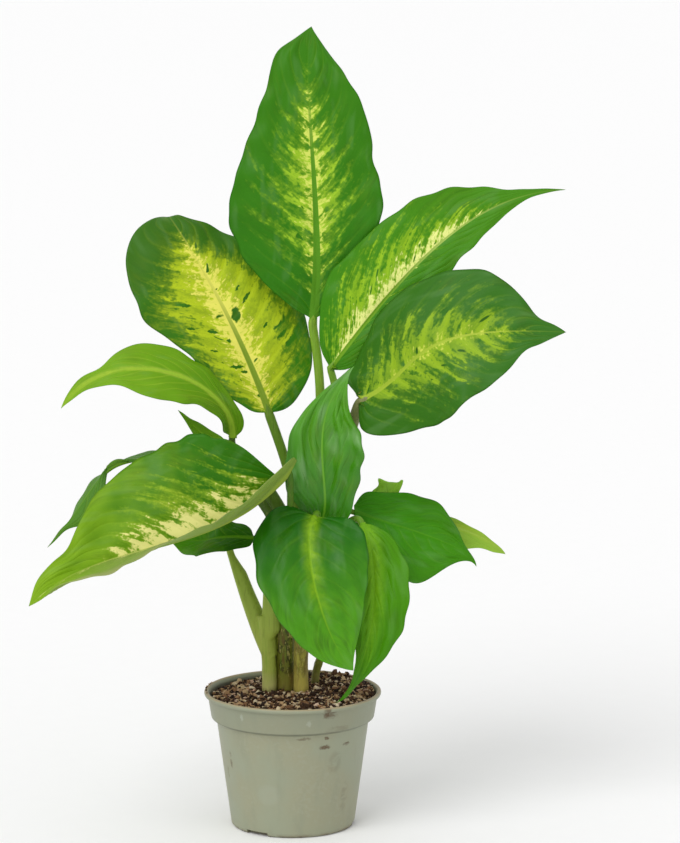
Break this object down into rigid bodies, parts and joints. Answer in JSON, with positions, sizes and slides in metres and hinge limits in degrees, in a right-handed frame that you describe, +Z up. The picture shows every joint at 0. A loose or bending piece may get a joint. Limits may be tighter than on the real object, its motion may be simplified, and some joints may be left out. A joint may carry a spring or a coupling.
{
  "type": "potted plant",
  "caption": "Leafy dieffenbachia house plant with broad variegated leaves on upright canes, growing in a tapered plastic nursery pot of soil that stands on its flat base.",
  "frame": {"origin": "centre of the pot's flat underside, on the surface that it stands on", "axes": "+Z up along the pot and the canes; the side shown first faces -Y, with +X to its right"},
  "size_m": [0.354, 0.1709, 0.538],
  "materials": {
    "pot": "satin",
    "soil": "matte",
    "shoot_middle": "satin",
    "shoot_front": "satin",
    "shoot_left": "satin",
    "shoot_right": "satin",
    "leaf_top": "satin",
    "leaf_upper_left": "satin",
    "leaf_upper_right": "satin",
    "leaf_right": "satin",
    "leaf_left_arching": "satin",
    "leaf_left_long": "satin",
    "leaf_left_back": "satin",
    "leaf_low_left": "satin",
    "leaf_left_sliver": "satin",
    "leaf_centre_upright": "satin",
    "leaf_centre_hanging": "satin",
    "leaf_right_hanging": "satin",
    "leaf_right_low": "satin",
    "leaf_right_back": "satin",
    "leaf_right_stub": "satin"
  },
  "bodies": {
    "root": {"pot": "pot", "soil": "soil", "shoot_middle": "shoot_middle", "shoot_front": "shoot_front", "shoot_left": "shoot_left", "shoot_right": "shoot_right", "leaf_top": "leaf_top", "leaf_upper_left": "leaf_upper_left", "leaf_upper_right": "leaf_upper_right", "leaf_right": "leaf_right", "leaf_left_arching": "leaf_left_arching", "leaf_left_long": "leaf_left_long", "leaf_left_back": "leaf_left_back", "leaf_low_left": "leaf_low_left", "leaf_left_sliver": "leaf_left_sliver", "leaf_centre_upright": "leaf_centre_upright", "leaf_centre_hanging": "leaf_centre_hanging", "leaf_right_hanging": "leaf_right_hanging", "leaf_right_low": "leaf_right_low", "leaf_right_back": "leaf_right_back", "leaf_right_stub": "leaf_right_stub"}
  },
  "joints": []
}
